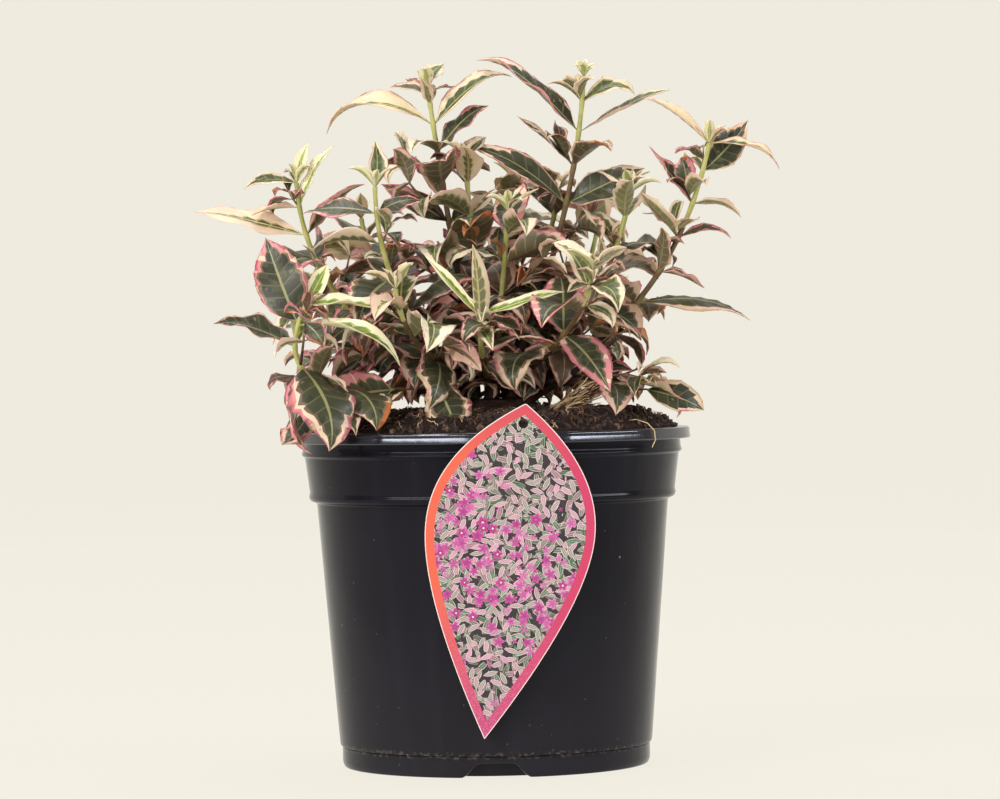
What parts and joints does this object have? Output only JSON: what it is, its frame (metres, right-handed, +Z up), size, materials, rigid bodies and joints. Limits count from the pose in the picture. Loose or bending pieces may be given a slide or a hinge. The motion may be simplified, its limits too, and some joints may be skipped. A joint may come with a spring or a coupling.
{
  "type": "potted weigela shrub",
  "caption": "Young variegated weigela shrub in leaf: many fine stems with pointed, cream- and pink-edged leaves, in a black nursery pot with a hooked-on picture label",
  "frame": {"origin": "centre of the pot's underside, at the level it stands on, which is also the middle of the plant's bounding box to within a millimetre or so", "axes": "+Z up along the pot's axis; -Y is the front, the side with the label; +X is to the right seen from the front"},
  "size_m": [0.326, 0.2446, 0.3958],
  "materials": {
    "pot": "black moulded polypropylene, satin, with a little dust",
    "compost": "moist dark potting compost of peat, bark and fibre crumbs",
    "label": "printed glossy plastic card with a pink border",
    "bark": "smooth young bark, brown below and yellow-green above",
    "foliage": "thin satin leaves, green with cream and pink edges"
  },
  "bodies": {
    "root": {"pot": "pot", "compost": "compost", "label": "label", "crown": "bark", "stem_back_centre": "bark", "stem_back_left": "bark", "stem_back_low_left": "bark", "stem_back_low_right": "bark", "stem_back_right": "bark", "stem_back_top": "bark", "stem_centre": "bark", "stem_front_centre": "bark", "stem_front_left": "bark", "stem_front_right": "bark", "stem_inner_left": "bark", "stem_inner_right": "bark", "stem_left_high": "bark", "stem_left_low": "bark", "stem_left_mid": "bark", "stem_left_side": "bark", "stem_right_high": "bark", "stem_right_low": "bark", "stem_right_mid": "bark", "stem_right_side": "bark", "stem_top_left": "bark", "stem_top_right": "bark", "shoot_back_centre": "foliage", "shoot_back_left": "foliage", "shoot_back_low_left": "foliage", "shoot_back_low_right": "foliage", "shoot_back_right": "foliage", "shoot_back_top": "foliage", "shoot_centre": "foliage", "shoot_front_centre": "foliage", "shoot_front_left": "foliage", "shoot_front_right": "foliage", "shoot_inner_left": "foliage", "shoot_inner_right": "foliage", "shoot_left_high": "foliage", "shoot_left_low": "foliage", "shoot_left_mid": "foliage", "shoot_left_side": "foliage", "shoot_right_high": "foliage", "shoot_right_low": "foliage", "shoot_right_mid": "foliage", "shoot_right_side": "foliage", "shoot_top_left": "foliage", "shoot_top_right": "foliage"}
  },
  "joints": []
}
